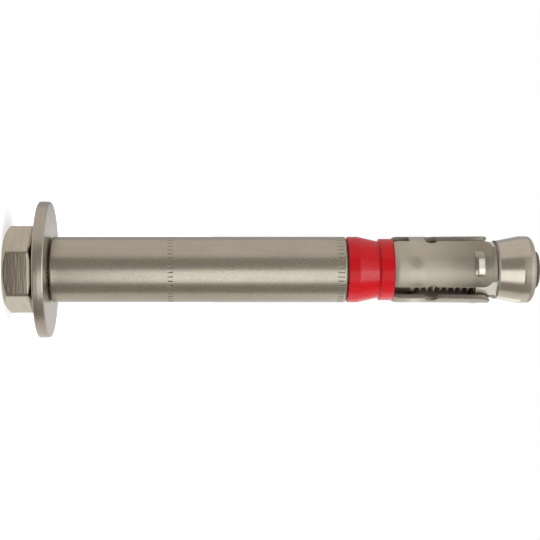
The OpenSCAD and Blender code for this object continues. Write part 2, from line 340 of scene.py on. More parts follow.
def soft_min(a, b, soft):
    """The smaller of two radii, blended where they are about equal."""
    blend = max(soft - abs(a - b), 0) / soft
    return min(a, b) - blend * blend * soft / 4


def clamp(value):
    """Keeps a share between 0 and 1."""
    return min(max(value, 0), 1)


def spread(start, end, count):
    """Evenly spaced values from start to end, both among them."""
    return [start + (end - start) * i / count for i in range(count + 1)]


def rounded(corners, steps=6):
    """Rows of level and radius round a closed section, whose corners (radius, level, rounding) are bent."""
    rows = []
    for i, (radius, level, rounding) in enumerate(corners):
        here = Vector((radius, level))
        back = (Vector(corners[i - 1][:2]) - here).normalized()
        ahead = (Vector(corners[(i + 1) % len(corners)][:2]) - here).normalized()
        half = back.angle(ahead) / 2
        reach = rounding / math.tan(half)
        centre = here + (back + ahead).normalized() * rounding / math.sin(half)
        start = here + back * reach - centre
        end = here + ahead * reach - centre
        bend = [centre + start.lerp(end, t).normalized() * rounding for t in spread(0, 1, steps)]
        rows += [here + back * (reach + HOLD), *bend, here + ahead * (reach + HOLD)]
    return [(point.y, point.x) for point in rows]


def spin(rows, angles, closed=True):
    """Points and faces of a form turned about Z. A row has a level and a radius, which may vary by angle."""
    points = []
    for level, radius in rows:
        for a in angles:
            r = radius(a) if callable(radius) else radius
            points.append((r * math.cos(a), r * math.sin(a), level))
    across = len(angles)
    faces = []
    for i in range(len(rows) if closed else len(rows) - 1):
        below = i * across
        above = (i + 1) % len(rows) * across
        for j in range(across):
            k = (j + 1) % across
            faces.append((below + j, below + k, above + k, above + j))
    if not closed:
        faces.append(tuple(range(across - 1, -1, -1)))
        faces.append(tuple(range(len(points) - across, len(points))))
    return points, faces


def round_angles(count):
    """Directions evenly round the axis."""
    return [TURN * i / count for i in range(count)]


def make_piece(name, node, points, faces, materials, pick=None):
    """A smooth mesh object that stands for a node of the frame and moves with that node's body."""
    mesh = bpy.data.meshes.new(name)
    mesh.from_pydata(points, [], faces)
    for material in materials:
        mesh.materials.append(material)
    mesh.update()
    if pick:
        for face in mesh.polygons:
            face.material_index = pick(face)
    mesh.shade_smooth()
    mesh.set_sharp_from_angle(angle=SHARP_ANGLE)
    piece = bpy.data.objects.new(name, mesh)
    bpy.context.scene.collection.objects.link(piece)
    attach(piece, BODY[node])
    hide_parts(node)
    return piece


# Shapes of the pieces, and which finish each of their faces has

def head_radius(s, level):
    """Radius of the hexagon head at a level, for each angle: flats, corners, chamfer and broken edge."""
    strip = max(level - (s.head_height - s.strip_height), 0) * math.tan(s.strip_slope)
    below_break = s.break_depth - s.strip_height * math.tan(s.strip_slope)
    broken = strip + max(level - (s.head_height - s.break_height), 0) * below_break / s.break_height
    chamfer = s.head_top / 2 + level / math.tan(s.head_chamfer)
    under = max(level - (s.head_height - s.under_height), 0) * s.under_depth / s.under_height

    def radius(a):
        flat = (s.flats / 2 - broken) / math.cos((a - s.head_turn) % (TURN / 6) - TURN / 12)
        side = soft_min(flat, s.corners / 2 - under, s.soft_corner)
        return soft_min(side, chamfer, s.soft_edge)

    return radius


def thread_radius(s, level, start, tip):
    """Radius of the right-hand thread at a level, for each angle, with its run-out and the chamfered tip."""
    crest_share = 1 / 8
    flank_share = 5 / 8
    grown = clamp((level - start) / s.pitch)
    chamfer = s.thread / 2 - max(level - (tip - s.tip_chamfer), 0)

    def radius(a):
        turns = (level - start) / s.pitch - a / TURN
        from_crest = abs(turns % 1 - 0.5) * 2
        groove = clamp((from_crest - crest_share) / flank_share)
        return soft_min(s.thread / 2 - s.thread_depth * groove * grown, chamfer, s.soft_edge)

    return radius


def bolt_shape(s, per_side=36, per_pitch=12, chamfer_rows=22, flat_rows=6, edge_rows=16, fillet_rows=5):
    """Hexagon head, bearing face, fillet, shank and thread as one closed form."""
    tip = ENDS["hex_bolt"][1]
    start = tip - s.thread_length
    face = s.head_height + s.bearing_height
    chamfer_end = (s.corners - s.head_top) / 2 * math.tan(s.head_chamfer) + 2 * s.soft_edge
    strip_start = s.head_height - s.strip_height
    levels = spread(0, chamfer_end, chamfer_rows)[:-1]
    levels += spread(chamfer_end, strip_start - 2 * HOLD, flat_rows)
    levels += [strip_start - HOLD] + spread(strip_start + HOLD, s.head_height, edge_rows)
    edge = head_radius(s, s.head_height)
    rows = [(0, s.head_top / 2 - HOLD)]
    rows += [(level, head_radius(s, level)) for level in levels]
    for share in (0.9, 0.5, 0.1):
        rows.append((s.head_height, lambda a, t=share: s.bearing / 2 * (1 - t) + edge(a) * t))
    rows += [
        (s.head_height, s.bearing / 2), (face - HOLD, s.bearing / 2), (face, s.bearing / 2 - HOLD),
        (face, s.shank / 2 + s.fillet + HOLD)
    ]
    for a in spread(0, TURN / 4, fillet_rows):
        rows.append((face + s.fillet * (1 - math.cos(a)), s.shank / 2 + s.fillet * (1 - math.sin(a))))
    rows += [(face + s.fillet + HOLD, s.shank / 2), (start - HOLD, s.shank / 2)]
    count = round(s.thread_length / s.pitch * per_pitch)
    rows += [(level, thread_radius(s, level, start, tip)) for level in spread(start, tip, count)]
    rows.append((tip, s.thread / 2 - s.tip_chamfer - 2 * HOLD))
    corner_pull = 0.75
    across = [t - corner_pull * math.sin(TURN * t) / TURN for t in spread(0, 1, per_side)[:-1]]
    angles = [s.head_turn + TURN / 6 * (side + t) for side in range(6) for t in across]
    return spin(rows, angles, closed=False)


def bolt_finish(s):
    """Says how each face of the bolt was made, as a place in the bolt's list of finishes."""
    forged, trimmed, waxed, sheared, rubbed = range(5)
    upright = 0.2
    tip = ENDS["hex_bolt"][1]
    strip_start = s.head_height - s.strip_height

    def pick(face):
        level = face.center.z
        # The tip's chamfer and end take the sheared finish, whose dark colour is painted shade
        if level > tip - s.tip_chamfer:
            return sheared
        if level > tip - s.thread_length:
            return waxed
        # The rubbed edge takes the finish whose darker colour is painted shade
        if strip_start < level < s.head_height:
            return rubbed
        return trimmed if level < strip_start and abs(face.normal.z) < upright else forged

    return pick


def washer_shape(s, around=192):
    """Flat ring with rounded edges, whose stamped rim is sheared square at first and then draws in."""
    low, high = ENDS["washer"]
    outside = OUTSIDE["washer"]
    inner_edge = s.edge / 2
    section = [
        (s.bore / 2, low, inner_edge), (outside, low, s.edge), (outside, (low + high) / 2, s.edge),
        (outside - s.rim_taper, high, s.edge), (s.bore / 2, high, inner_edge)
    ]
    return spin(rounded(section), round_angles(around))


def tube_shape(s, per_tick=10):
    """Tube with rounded ends and two rings of short tick marks pressed into it along the axis."""
    low, high = ENDS["distance_sleeve"]
    inner_edge = s.edge / 4
    half_width = s.tick_width / 2 / BODY_R * s.ticks / TURN
    guard = 3 * HOLD
    steepness = 2

    def ticked(a):
        off_tick = abs(((a - s.tick_turn) / TURN * s.ticks + 0.5) % 1 - 0.5)
        return BODY_R - s.tick_depth * clamp(steepness * (1 - off_tick / half_width))

    section = rounded([
        (s.bore / 2, low, inner_edge), (BODY_R, low, s.edge),
        (BODY_R, high, s.edge), (s.bore / 2, high, inner_edge)
    ])
    rows = section[:len(section) // 2]
    for start, long in ((low + s.middle_ring, s.middle_ticks), (high - s.end_gap - s.end_ticks, s.end_ticks)):
        end = start + long
        rows += [(start - guard, BODY_R), (start - HOLD, BODY_R), (start + HOLD, ticked)]
        rows += [(end - HOLD, ticked), (end + HOLD, BODY_R), (end + guard, BODY_R)]
    rows += section[len(section) // 2:]
    return spin(rows, round_angles(s.ticks * per_tick))


def is_in_tick(s):
    """Says which faces of the tube lie in a tick mark."""
    upright = 0.5
    inside = s.bore / 2 + s.edge
    outside = BODY_R - s.tick_depth / 3

    def pick(face):
        return int(inside < face.center.xy.length < outside and abs(face.normal.z) < upright)

    return pick


def collar_shape(s, around=180):
    """Full-width land, taper, waist and ring, with the mould's two parting lines."""
    low, high = ENDS["crush_collar"]
    waist = s.bore / 2 + s.waist_wall
    ring = BODY_R - s.ring_step
    taper_end = low + s.land + s.taper
    small = s.edge / 4
    section = [
        (s.bore / 2, low, small), (BODY_R, low, s.edge), (BODY_R, low + s.land, s.edge * 2),
        (waist, taper_end, small), (waist, taper_end + s.waist, small), (ring, taper_end + s.waist, s.edge),
        (ring, high, small), (s.bore / 2, high, small)
    ]
    line = TURN / around

    def parted(radius):
        def with_line(a):
            off_line = abs((a - s.parting_at + TURN / 4) % (TURN / 2) - TURN / 4)
            return radius + s.parting_height * clamp(1 - off_line / line)
        return with_line

    rows = []
    for level, radius in rounded(section):
        rows.append((level, parted(radius) if radius > s.bore / 2 + small else radius))
    return spin(rows, round_angles(around))


def cone_shape(s, around=216):
    """Neck with a bead, taper, land and rounded end, with a flat that faces each slot of the sleeve."""
    strip = bpy.context.scene.anchor.strip
    low, high = ENDS["cone_nut"]
    bore, neck, outside = s.bore / 2, s.neck / 2, OUTSIDE["cone_nut"]
    bead = low + s.neck_length + s.bead_from_tip
    taper_start = bead + s.bead_width
    small = 0.1 * MM
    soft = 0.2 * MM
    section = [
        (bore, low, small), (neck, low, small), (neck, bead, soft),
        (neck + s.bead_height, bead + s.bead_width / 3, soft),
        (neck + s.bead_height, bead + s.bead_width * 2 / 3, soft), (neck + s.taper_step, taper_start, soft),
        (outside, taper_start + s.taper, 3 * small), (outside, high, s.rounding),
        (bore + s.countersink, high, small), (bore, high - s.countersink, small)
    ]
    flat_end = bead + s.bead_width / 2
    step = 0.01 * MM
    lean = 0.02
    pitch = TURN / strip.leaves

    def flattened(radius):
        def with_flats(a):
            off_slot = (a - strip.seam_at + pitch / 2) % pitch - pitch / 2
            flat = (bore + s.flat_wall) / math.cos(off_slot)
            return min(radius, flat - (neck + s.bead_height - radius) * lean)
        return with_flats

    rows = []
    for level, radius in rounded(section):
        below = level < flat_end
        if rows and not below and callable(rows[-1][1]):
            rows += [(flat_end - step, flattened(radius)), (flat_end, radius)]
        rows.append((level, flattened(radius) if below and radius > bore + small else radius))
    return spin(rows, round_angles(around))


def cone_finish(s):
    """Says how each face of the cone nut was cut, as a place in the nut's list of finishes."""
    turned, milled, parted, rough = range(4)
    near = 0.02 * MM
    upright = 0.1
    flat = s.bore / 2 + s.flat_wall
    land_end = ENDS["cone_nut"][1] - s.rounding
    taper_start = ENDS["cone_nut"][0] + s.neck_length + s.bead_from_tip + s.bead_width

    def pick(face):
        outwards = face.normal.x * face.center.x + face.normal.y * face.center.y
        if abs(outwards - flat) < near and abs(face.normal.z) < upright:
            return milled
        if face.center.z > land_end:
            return parted
        return rough if face.center.z < taper_start else turned

    return pick


def slot_opening(s, level, is_seam, shift):
    """Half the opening beside a leaf at a level over the collar's end, with slot, notch and tip corner."""
    bridge_end = s.short_slot + s.bridge
    notch_centre = bridge_end + s.notch
    reach = s.slot / 2 + s.notch_bite - s.notch + shift
    off_centre = abs(level - notch_centre)
    notch = reach + math.sqrt(s.notch ** 2 - off_centre ** 2) if off_centre < s.notch else 0
    straight = s.slot / 2
    if not is_seam and s.short_slot < level < notch_centre:
        straight += (reach - s.slot / 2) * clamp((level - s.short_slot) / s.bridge)
    corner_start = STRIP_LENGTH - s.corner + s.corner_lift
    past_corner = max(level - corner_start, 0)
    return max(straight, notch) + s.corner - math.sqrt(s.corner ** 2 - past_corner ** 2)


def leaf_wall(s, level):
    """Outside radius of the strip at a level over the collar's end, where no scale stands."""
    bridge_end = s.short_slot + s.bridge
    return BODY_R + s.splay * clamp((level - bridge_end) / (STRIP_LENGTH - bridge_end))


def strip_outside(s, level, off_leaf):
    """Outside radius of the strip at a level and an angle from the leaf's middle, with the gripping scale."""
    wall = leaf_wall(s, level)
    from_crest = level - (STRIP_LENGTH - s.scale_from_tip)
    if not -s.scale_back <= from_crest <= s.scale_run:
        return wall
    if from_crest < 0:
        ridge = s.scale_height + (s.scale_height - s.scale_edge_height) * from_crest / s.scale_back
    else:
        ridge = s.scale_height * (1 - from_crest / s.scale_run)
    run_out = clamp((s.scale_arc - abs(off_leaf - s.scale_turn)) / s.scale_end)
    return wall + max(BODY_R + ridge - wall, 0) * run_out


def strip_levels(s, slot_rows=6, notch_rows=20, leaf_rows=10, back_rows=4, scale_rows=24, corner_rows=12):
    """Levels of the strip's rows, close together where its outline or its scale turns."""
    bridge_end = s.short_slot + s.bridge
    crest = STRIP_LENGTH - s.scale_from_tip
    corner_start = STRIP_LENGTH - s.corner + s.corner_lift
    corner_turn = math.asin(1 - s.corner_lift / s.corner)
    steep = 0.03 * MM
    levels = [s.edge, s.coin_length, s.short_slot - s.edge, s.short_slot + s.edge]
    levels += [bridge_end - s.edge, STRIP_LENGTH - s.edge]
    levels += spread(0, s.short_slot, slot_rows) + spread(s.short_slot, bridge_end, slot_rows)
    levels += [bridge_end + s.notch * (1 - math.cos(a)) for a in spread(0, TURN / 2, notch_rows)]
    levels += spread(bridge_end + 2 * s.notch, crest - s.scale_back - steep, leaf_rows)
    levels += spread(crest - s.scale_back, crest - s.edge, back_rows)
    levels += spread(crest, crest + s.scale_run, scale_rows)
    levels += [corner_start + s.corner * math.sin(a) for a in spread(0, corner_turn, corner_rows)]
    close = 0.02 * MM
    kept = [0]
    for level in sorted(levels):
        if level - kept[-1] > close:
            kept.append(level)
    kept[-1] = STRIP_LENGTH
    for exact in (s.short_slot, bridge_end):
        nearest = min(range(len(kept)), key=lambda i: abs(kept[i] - exact))
        kept[nearest] = exact
    return kept


def strip_shape(s, per_leaf=64, per_bridge=10):
    """Leaves joined by bridges, rolled round to an open seam, with thickness and rolled-over cut edges."""
    low = ENDS["expansion_sleeve"][0]
    pitch = TURN / s.leaves
    levels = strip_levels(s)
    bridge_rows = [i for i, z in enumerate(levels) if s.short_slot <= z <= s.short_slot + s.bridge]
    places = []
    sheet = []
    grids = []

    def add_point(a, level, leaf):
        places.append((a, level, a - (s.seam_at + pitch * (leaf + 0.5))))
        return len(places) - 1

    def add_quads(grid):
        for below, above in zip(grid, grid[1:]):
            for j in range(len(below) - 1):
                sheet.append((below[j], below[j + 1], above[j + 1], above[j]))

    for leaf in range(s.leaves):
        grid = []
        first, last = leaf == 0, leaf == s.leaves - 1
        for level in levels:
            left_open = slot_opening(s, level, first, s.seam_shift if first else 0)
            right_open = slot_opening(s, level, last, -s.seam_shift if last else 0)
            left = s.seam_at + pitch * leaf + math.asin(left_open / BODY_R)
            right = s.seam_at + pitch * (leaf + 1) - math.asin(right_open / BODY_R)
            roll = s.edge / BODY_R / (right - left)
            shares = [0, *spread(roll, 1 - roll, per_leaf), 1]
            grid.append([add_point(left + (right - left) * t, level, leaf) for t in shares])
        add_quads(grid)
        grids.append(grid)
    for leaf in range(s.leaves - 1):
        bridge = []
        for i in bridge_rows:
            left, right = grids[leaf][i][-1], grids[leaf + 1][i][0]
            between = spread(places[left][0], places[right][0], per_bridge)[1:-1]
            bridge.append([left, *[add_point(a, levels[i], leaf) for a in between], right])
        add_quads(bridge)

    edges = dict.fromkeys((face[j], face[(j + 1) % 4]) for face in sheet for j in range(4))
    rim = [(a, b) for a, b in edges if (b, a) not in edges]
    on_rim = {point for edge in rim for point in edge}

    outer, inner = [], []
    for i, (a, level, off_leaf) in enumerate(places):
        outside = strip_outside(s, level, off_leaf)
        lead = clamp((level - STRIP_LENGTH + s.lead_length) / s.lead_length)
        inside = outside - s.thickness + s.lead_depth * lead
        outside -= s.coin_depth * clamp(1 - level / s.coin_length)
        if i in on_rim:
            outside -= s.edge / 2
            inside += s.edge / 4
        outer.append((outside * math.cos(a), outside * math.sin(a), low + level))
        inner.append((inside * math.cos(a), inside * math.sin(a), low + level))
    back = len(places)
    faces = list(sheet)
    faces += [tuple(back + point for point in reversed(face)) for face in sheet]
    faces += [(b, a, back + a, back + b) for a, b in rim]
    return outer + inner, faces


def strip_finish(s):
    """Says how each face of the strip was made, as a place in the strip's list of finishes."""
    rolled, coined, punched = range(3)
    proud = 0.01 * MM
    sideways = 0.5

    def pick(face):
        wall = leaf_wall(s, face.center.z - ENDS["expansion_sleeve"][0])
        if face.center.xy.length > wall + proud:
            return coined
        outwards = face.normal.xy.dot(face.center.xy.normalized())
        return punched if abs(outwards) < sideways else rolled

    return pick


# Finishes

def fill(tree, node, inputs):
    """Fills in a node's inputs; one that is given as a socket is linked."""
    for key, value in inputs.items():
        if isinstance(value, bpy.types.NodeSocket):
            tree.links.new(value, node.inputs[key])
        else:
            node.inputs[key].default_value = value


def add(tree, kind, inputs=None, **settings):
    """Adds a node with its settings and links."""
    node = tree.nodes.new(kind)
    for key, value in settings.items():
        setattr(node, key, value)
    fill(tree, node, inputs or {})
    return node


def blank(name):
    """A material with a bare principled shader, and the place on the object in metres."""
    material = bpy.data.materials.new(name)
    material.use_nodes = True
    tree = material.node_tree
    shader = tree.nodes["Principled BSDF"]
    place = add(tree, "ShaderNodeTexCoord").outputs["Object"]
    return material, tree, shader, place


def per(millimetres):
    """Scale of a pattern whose features are this far apart."""
    return 1 / (millimetres * MM)


def tint(colour_value, share):
    """A lighter or darker tone of a colour, with full opacity."""
    return (*[min(channel * share, 1) for channel in colour_value], 1)


def clouded(tree, place, base, spacing, detail, dark, light):
    """Clouds this many millimetres apart, and a tone that follows them between two shares of a colour."""
    pattern = {"Vector": place, "Scale": per(spacing), "Detail": detail}
    clouds = add(tree, "ShaderNodeTexNoise", pattern).outputs["Fac"]
    tones = {MIX_SHARE: clouds, MIX_FIRST: tint(base, dark), MIX_SECOND: tint(base, light)}
    return clouds, add(tree, "ShaderNodeMix", tones, data_type="RGBA").outputs[MIXED]


def grained(tree, place, spacing, strength, depth, detail=2):
    """Grain this many millimetres apart, and the bump that it gives a skin when it is that deep."""
    pattern = {"Vector": place, "Scale": per(spacing), "Detail": detail}
    grain = add(tree, "ShaderNodeTexNoise", pattern).outputs["Fac"]
    relief = {"Strength": strength, "Distance": depth * MM, "Height": grain}
    return grain, add(tree, "ShaderNodeBump", relief).outputs["Normal"]


def plain_skin(name, base, spacing, detail, dark, light, rough, metallic=1):
    """A finish of one roughness whose tone is cloudy."""
    material, tree, shader, place = blank(name)
    _, tone = clouded(tree, place, base, spacing, detail, dark, light)
    fill(tree, shader, {"Base Color": tone, "Roughness": rough, "Metallic": metallic})
    return material


def grainy_skin(name, steel, cloud_spacing, grain_spacing, smooth, dull):
    """A metal finish with a small grain, whose tone and roughness are cloudy."""
    material, tree, shader, place = blank(name)
    clouds, tone = clouded(tree, place, steel, cloud_spacing, detail=4, dark=0.88, light=1.1)
    _, bump = grained(tree, place, grain_spacing, strength=0.5, depth=0.012)
    satin = {**SOFT_SPREAD, "Value": clouds, "To Min": smooth, "To Max": dull}
    gloss = add(tree, "ShaderNodeMapRange", satin).outputs[0]
    fill(tree, shader, {"Base Color": tone, "Roughness": gloss, "Normal": bump, "Metallic": 1})
    return material


def drawn_stainless(steel):
    """Stainless tube, cold drawn and tumbled: satin bands along the tube, speckled by fine pits."""
    material, tree, shader, place = blank("drawn_stainless_tube")
    stretched = add(tree, "ShaderNodeMapping", {"Vector": place, "Scale": (1, 1, 0.04)}).outputs["Vector"]
    drawn = {"Vector": stretched, "Scale": per(0.6), "Detail": 3}
    lines = add(tree, "ShaderNodeTexNoise", drawn).outputs["Fac"]
    clouds = add(tree, "ShaderNodeTexNoise", {"Vector": place, "Scale": per(5), "Detail": 3}).outputs["Fac"]
    mottle = add(tree, "ShaderNodeMath", {0: lines, 1: clouds}, operation="ADD").outputs[0]
    shade = add(tree, "ShaderNodeMapRange", {"Value": mottle, "From Min": 0.75, "From Max": 1.25}).outputs[0]
    tones = {MIX_SHARE: shade, MIX_FIRST: tint(steel, 0.96), MIX_SECOND: tint(steel, 1.04)}
    tone = add(tree, "ShaderNodeMix", tones, data_type="RGBA").outputs[MIXED]
    # The tumbled pits are about 0.1 mm across, drawn coarser so that they show
    pits, bump = grained(tree, place, spacing=0.4, strength=1, depth=0.003)
    satin = {**HARD_SPREAD, "Value": pits, "To Min": 0.265, "To Max": 0.31}
    gloss = add(tree, "ShaderNodeMapRange", satin).outputs[0]
    fill(tree, shader, {"Base Color": tone, "Roughness": gloss, "Normal": bump, "Metallic": 1})
    return material


def pressed_stainless_painted_shade(pressed):
    """Steel at the bottom of a pressed mark: rough, and darker in colour as painted shade in the groove."""
    return plain_skin("pressed_stainless_painted_shade", pressed, spacing=0.5, detail=2, dark=0.8, light=1.2, rough=0.6)


def tumbled_stainless(steel):
    """Stainless washer, stamped and tumbled: dull, with an even small grain from the tumbling stones."""
    name = "tumbled_stainless"
    return grainy_skin(name, steel, cloud_spacing=2.5, grain_spacing=0.5, smooth=0.26, dull=0.34)


def forged_stainless(steel):
    """Stainless bolt, cold forged: dull grey with cloudy tone and a slightly uneven skin."""
    name = "cold_forged_stainless"
    return grainy_skin(name, steel, cloud_spacing=1.8, grain_spacing=0.6, smooth=0.42, dull=0.52)


def trimmed_stainless(trimmed):
    """Flats sheared by the trimming die: bright, with torn streaks across the flat, which catch the dark."""
    material, tree, shader, place = blank("die_trimmed_stainless")
    stretched = add(tree, "ShaderNodeMapping", {"Vector": place, "Scale": (0.1, 0.1, 1)}).outputs["Vector"]
    streaks, bump = grained(tree, stretched, spacing=0.5, strength=1, depth=0.012, detail=4)
    shade = add(tree, "ShaderNodeMapRange", {**HARD_SPREAD, "Value": streaks}).outputs[0]
    tones = {MIX_SHARE: shade, MIX_FIRST: tint(trimmed, 0.9), MIX_SECOND: tint(trimmed, 1.03)}
    tone = add(tree, "ShaderNodeMix", tones, data_type="RGBA").outputs[MIXED]
    fill(tree, shader, {"Base Color": tone, "Roughness": 0.18, "Normal": bump, "Metallic": 1})
    return material


def painted_shade_rubbed_stainless(rubbed):
    """Edge under the flats, rubbed smooth by the die: with a shine, and browner and darker as painted shade
    beside the washer.
    """
    name = "painted_shade_rubbed_edge"
    return plain_skin(name, rubbed, spacing=1.2, detail=3, dark=0.85, light=1.15, rough=0.2)


def waxed_thread(wax):
    """Rolled thread under a dry film of wax: grey and matt, so that its crests show in the sleeve's shade."""
    name = "waxed_thread"
    return plain_skin(name, wax, spacing=0.8, detail=3, dark=0.85, light=1.15, rough=0.55, metallic=0)


def sheared_stainless(name, sheared):
    """Steel cut by a punch or a shear: torn and dull, about as light from every side."""
    return plain_skin(name, sheared, spacing=0.6, detail=3, dark=0.8, light=1.2, rough=0.75)


def rolled_stainless(s):
    """Stainless strip, cold rolled and pressed: dull and cloudy.

    One band of it is rubbed smoother, and towards the tips it turns smoother and darker; the darkening there
    is painted shade.
    """
    material, tree, shader, place = blank("cold_rolled_stainless_strip")
    low, tip = ENDS["expansion_sleeve"]
    middle = low + s.burnish_at
    rubbed_smoother = 0.19
    tip_smoother = 0.18
    # Tone that darkens the strip towards its tips, as painted shade
    tip_shade_tone = (0.59, 0.58, 0.57, 1)
    level = add(tree, "ShaderNodeSeparateXYZ", {"Vector": place}).outputs["Z"]
    off_band = add(tree, "ShaderNodeMath", {0: level, 1: middle}, operation="SUBTRACT").outputs[0]
    distance = add(tree, "ShaderNodeMath", {0: off_band}, operation="ABSOLUTE").outputs[0]
    rubbed = {"Value": distance, "From Max": s.burnish, "To Min": -rubbed_smoother, "To Max": 0}
    band_gloss = add(tree, "ShaderNodeMapRange", rubbed, interpolation_type="SMOOTHSTEP").outputs[0]
    shaded = {"Value": level, "From Min": tip - s.tip_shade_from, "From Max": tip - s.tip_shade_to}
    tip_shade_and_gloss = add(tree, "ShaderNodeMapRange", shaded, interpolation_type="SMOOTHSTEP").outputs[0]
    clouds, tone = clouded(tree, place, s.steel, spacing=2.6, detail=4, dark=0.9, light=1.1)
    _, bump = grained(tree, place, spacing=0.4, strength=0.5, depth=0.01)
    dulled = {**SOFT_SPREAD, "Value": clouds, "To Min": 0.48, "To Max": 0.58}
    dull = add(tree, "ShaderNodeMapRange", dulled).outputs[0]
    rubbed_gloss = add(tree, "ShaderNodeMath", {0: dull, 1: band_gloss}, operation="ADD").outputs[0]
    tip_gloss = {0: tip_shade_and_gloss, 1: -tip_smoother, 2: rubbed_gloss}
    gloss = add(tree, "ShaderNodeMath", tip_gloss, operation="MULTIPLY_ADD").outputs[0]
    tip_shade_mix = {MIX_SHARE: tip_shade_and_gloss, MIX_FIRST: tone, MIX_SECOND: tip_shade_tone}
    dark = add(tree, "ShaderNodeMix", tip_shade_mix, data_type="RGBA", blend_type="MULTIPLY").outputs[MIXED]
    fill(tree, shader, {"Base Color": dark, "Roughness": gloss, "Normal": bump, "Metallic": 1})
    return material


def coined_stainless_painted_shade(steel):
    """Face of a pressed scale: smooth and bright, because the strip was drawn hard over the die there; its
    darker tone is painted shade.
    """
    material, tree, shader, place = blank("coined_stainless_painted_shade")
    # The strip's steel is made darker here, as painted shade on the scale
    clouds, tone = clouded(tree, place, steel, spacing=1.2, detail=3, dark=0.76, light=0.88)
    shiny = {**SOFT_SPREAD, "Value": clouds, "To Min": 0.14, "To Max": 0.22}
    gloss = add(tree, "ShaderNodeMapRange", shiny).outputs[0]
    fill(tree, shader, {"Base Color": tone, "Roughness": gloss, "Metallic": 1})
    return material


def turned_stainless(steel):
    """Stainless cone, turned on a lathe: satin, with fine tool marks round the axis."""
    material, tree, shader, place = blank("turned_stainless")
    squeezed = add(tree, "ShaderNodeMapping", {"Vector": place, "Scale": (0.02, 0.02, 1)}).outputs["Vector"]
    # The feed of the tool is about 0.1 mm a turn, drawn coarser so that it shows
    marks, bump = grained(tree, squeezed, spacing=0.35, strength=0.5, depth=0.005)
    _, tone = clouded(tree, place, steel, spacing=2, detail=3, dark=0.94, light=1.06)
    satin = {**HARD_SPREAD, "Value": marks, "To Min": 0.2, "To Max": 0.26}
    gloss = add(tree, "ShaderNodeMapRange", satin).outputs[0]
    fill(tree, shader, {"Base Color": tone, "Roughness": gloss, "Normal": bump, "Metallic": 1})
    return material


def rough_stainless(name, steel):
    """Neck and parted end of the cone, with no finishing cut: dull and cloudy; darker, on the neck as painted
    shade.
    """
    return plain_skin(name, steel, spacing=0.8, detail=3, dark=0.74, light=0.93, rough=0.6)


def milled_stainless_painted_reflection(milled):
    """Flats milled on the cone's neck: pale, as painted reflection of the white round them, with a faint
    grain.
    """
    return plain_skin("milled_stainless_painted_reflection", milled, spacing=1.5, detail=3, dark=0.93, light=1.07, rough=0.3)


def moulded_nylon(plastic):
    """Red nylon, injection moulded: even colour, satin skin with a very fine eroded texture."""
    material, tree, shader, place = blank("moulded_red_nylon")
    _, tone = clouded(tree, place, plastic, spacing=3, detail=3, dark=0.95, light=1.05)
    grain, bump = grained(tree, place, spacing=0.35, strength=0.4, depth=0.008)
    satin = {**SOFT_SPREAD, "Value": grain, "To Min": 0.22, "To Max": 0.3}
    gloss = add(tree, "ShaderNodeMapRange", satin).outputs[0]
    fill(tree, shader, {"Base Color": tone, "Roughness": gloss, "Normal": bump})
    fill(tree, shader, {"IOR": 1.53, "Specular IOR Level": 0.21})
    return material


def matt_board(name, board):
    """Matt board, which metal shows as its darker bands."""
    material, tree, shader, _ = blank(name)
    fill(tree, shader, {"Base Color": (*board, 1), "Roughness": 1, "Specular IOR Level": 0})
    return material


def studio_floor(floor):
    """Matt white paper: it takes the object's shadow and is otherwise as white as the background."""
    material, tree, shader, _ = blank("white_paper")
    fill(tree, shader, {"Base Color": (*floor, 1), "Roughness": 1, "Specular IOR Level": 0})
    fill(tree, shader, {"Emission Color": (1, 1, 1, 1), "Emission Strength": 0.4})
    return material


# Operators

class ANCHOR_OT_forge_bolt(bpy.types.Operator):
    """Make the hexagon bolt with its thread"""

    bl_idname = "anchor.forge_bolt"
    bl_label = "Forge Bolt"

    def execute(self, context):
        s = context.scene.anchor.bolt
        finishes = [
            forged_stainless(s.steel), trimmed_stainless(s.trimmed), waxed_thread(s.wax),
            sheared_stainless("bolt_end_painted_shade", s.sheared), painted_shade_rubbed_stainless(s.rubbed)
        ]
        make_piece("forged_bolt", "hex_bolt", *bolt_shape(s), finishes, bolt_finish(s))
        return {"FINISHED"}


class ANCHOR_OT_stamp_washer(bpy.types.Operator):
    """Make the large washer"""

    bl_idname = "anchor.stamp_washer"
    bl_label = "Stamp Washer"

    def execute(self, context):
        s = context.scene.anchor.washer
        make_piece("stamped_washer", "washer", *washer_shape(s), [tumbled_stainless(s.steel)])
        return {"FINISHED"}


class ANCHOR_OT_draw_tube(bpy.types.Operator):
    """Make the distance sleeve with its tick marks"""

    bl_idname = "anchor.draw_tube"
    bl_label = "Draw Tube"

    def execute(self, context):
        s = context.scene.anchor.tube
        finishes = [drawn_stainless(s.steel), pressed_stainless_painted_shade(s.pressed)]
        make_piece("drawn_tube", "distance_sleeve", *tube_shape(s), finishes, is_in_tick(s))
        return {"FINISHED"}


class ANCHOR_OT_mould_collar(bpy.types.Operator):
    """Make the crush collar"""

    bl_idname = "anchor.mould_collar"
    bl_label = "Mould Collar"

    def execute(self, context):
        s = context.scene.anchor.collar
        make_piece("moulded_collar", "crush_collar", *collar_shape(s), [moulded_nylon(s.plastic)])
        return {"FINISHED"}


class ANCHOR_OT_roll_strip(bpy.types.Operator):
    """Make the expansion sleeve"""

    bl_idname = "anchor.roll_strip"
    bl_label = "Roll Strip"

    def execute(self, context):
        s = context.scene.anchor.strip
        punched = sheared_stainless("punched_stainless_edge", s.sheared)
        finishes = [rolled_stainless(s), coined_stainless_painted_shade(s.steel), punched]
        make_piece("rolled_strip", "expansion_sleeve", *strip_shape(s), finishes, strip_finish(s))
        return {"FINISHED"}


